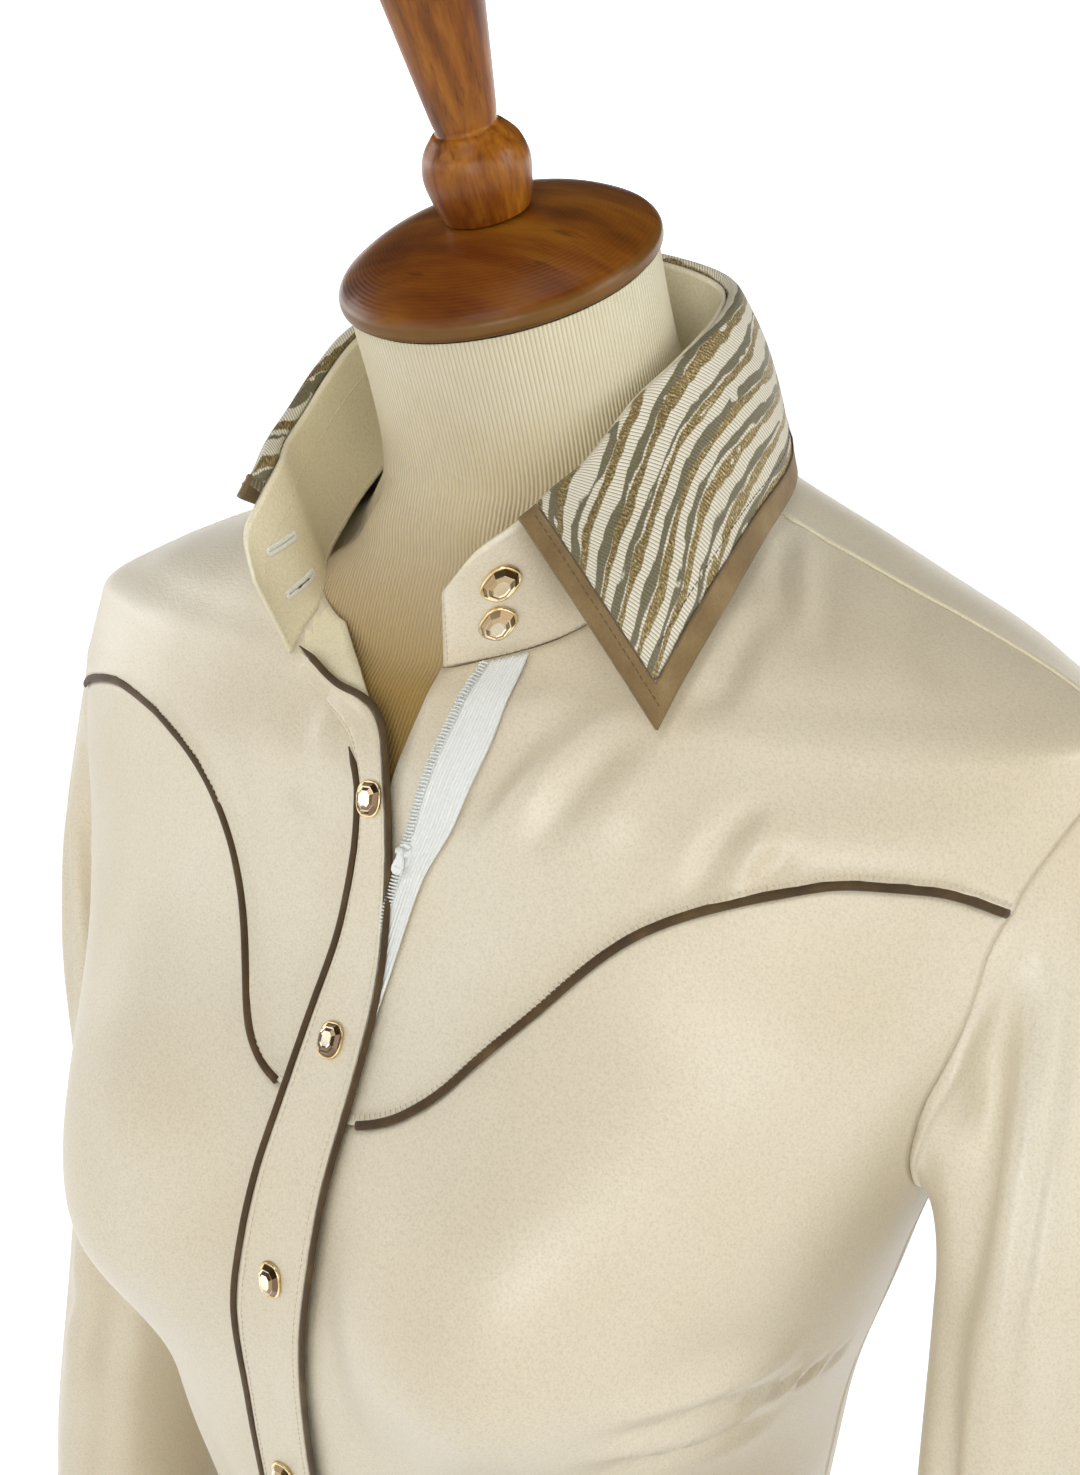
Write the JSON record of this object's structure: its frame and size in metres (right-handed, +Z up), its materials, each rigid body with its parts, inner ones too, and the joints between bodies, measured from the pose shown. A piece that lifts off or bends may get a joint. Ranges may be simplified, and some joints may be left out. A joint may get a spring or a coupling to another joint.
{
  "type": "western snap shirt on a limbless dress form",
  "caption": "Fitted long-sleeved western shirt with curved yokes, piped snap front band, half-open zip and a turned-down patterned collar, worn on a limbless dress form with a turned stand",
  "frame": {"origin": "The middle of the base's underside, on the floor.", "axes": "+Z up, +X the wearer's left, the shirt's front faces -Y."},
  "size_m": [0.4625, 0.2938, 1.079],
  "materials": {
    "satin": "champagne satin-back crepe with a soft sheen",
    "taupe": "flat taupe cotton, matt",
    "jacquard": "ivory twill with broken olive and bronze stripes woven in",
    "jersey": "fine vertical-rib cream jersey over padding",
    "zip_tape": "cool white ribbed zip tape",
    "zip_enamel": "white enamel",
    "snap_metal": "polished pale gold bezel with a champagne crystal",
    "wood": "honey to mahogany stain with a worn satin varnish"
  },
  "bodies": {
    "shirt_and_form": {"back": "satin", "back_yoke": "satin", "base": "wood", "collar_leaf": "jacquard", "collar_stand": "satin", "collar_trim": "taupe", "cuff_left": "satin", "cuff_right": "satin", "finial": "wood", "form_torso": "jersey", "front_left": "satin", "front_right": "satin", "neck_cap": "wood", "placket": "satin", "placket_piping_inner": "taupe", "placket_piping_outer": "taupe", "pole": "wood", "sleeve_left": "satin", "sleeve_right": "satin", "snap_collar_1": "snap_metal", "snap_collar_2": "snap_metal", "snap_cuff_left_1": "snap_metal", "snap_cuff_left_2": "snap_metal", "snap_cuff_right_1": "snap_metal", "snap_cuff_right_2": "snap_metal", "snap_front_1": "snap_metal", "snap_front_2": "snap_metal", "snap_front_3": "snap_metal", "snap_front_4": "snap_metal", "snap_front_5": "snap_metal", "snap_front_6": "snap_metal", "snap_front_7": "snap_metal", "yoke_front_left": "satin", "yoke_front_right": "satin", "yoke_piping_back": "taupe", "yoke_piping_left": "taupe", "yoke_piping_right": "taupe", "zip_slider": "zip_enamel", "zip_tape": "zip_tape"},
    "zip_pull": {"zip_pull": "zip_enamel"}
  },
  "joints": [
    {"name": "pull_hinge", "type": "hinge", "parent": "shirt_and_form", "child": "zip_pull", "pos_m": [0.01887, -0.09911, 0.78458], "axis": [-0.9848, 0.0208, 0.1722], "range_deg": [0, 150]}
  ]
}
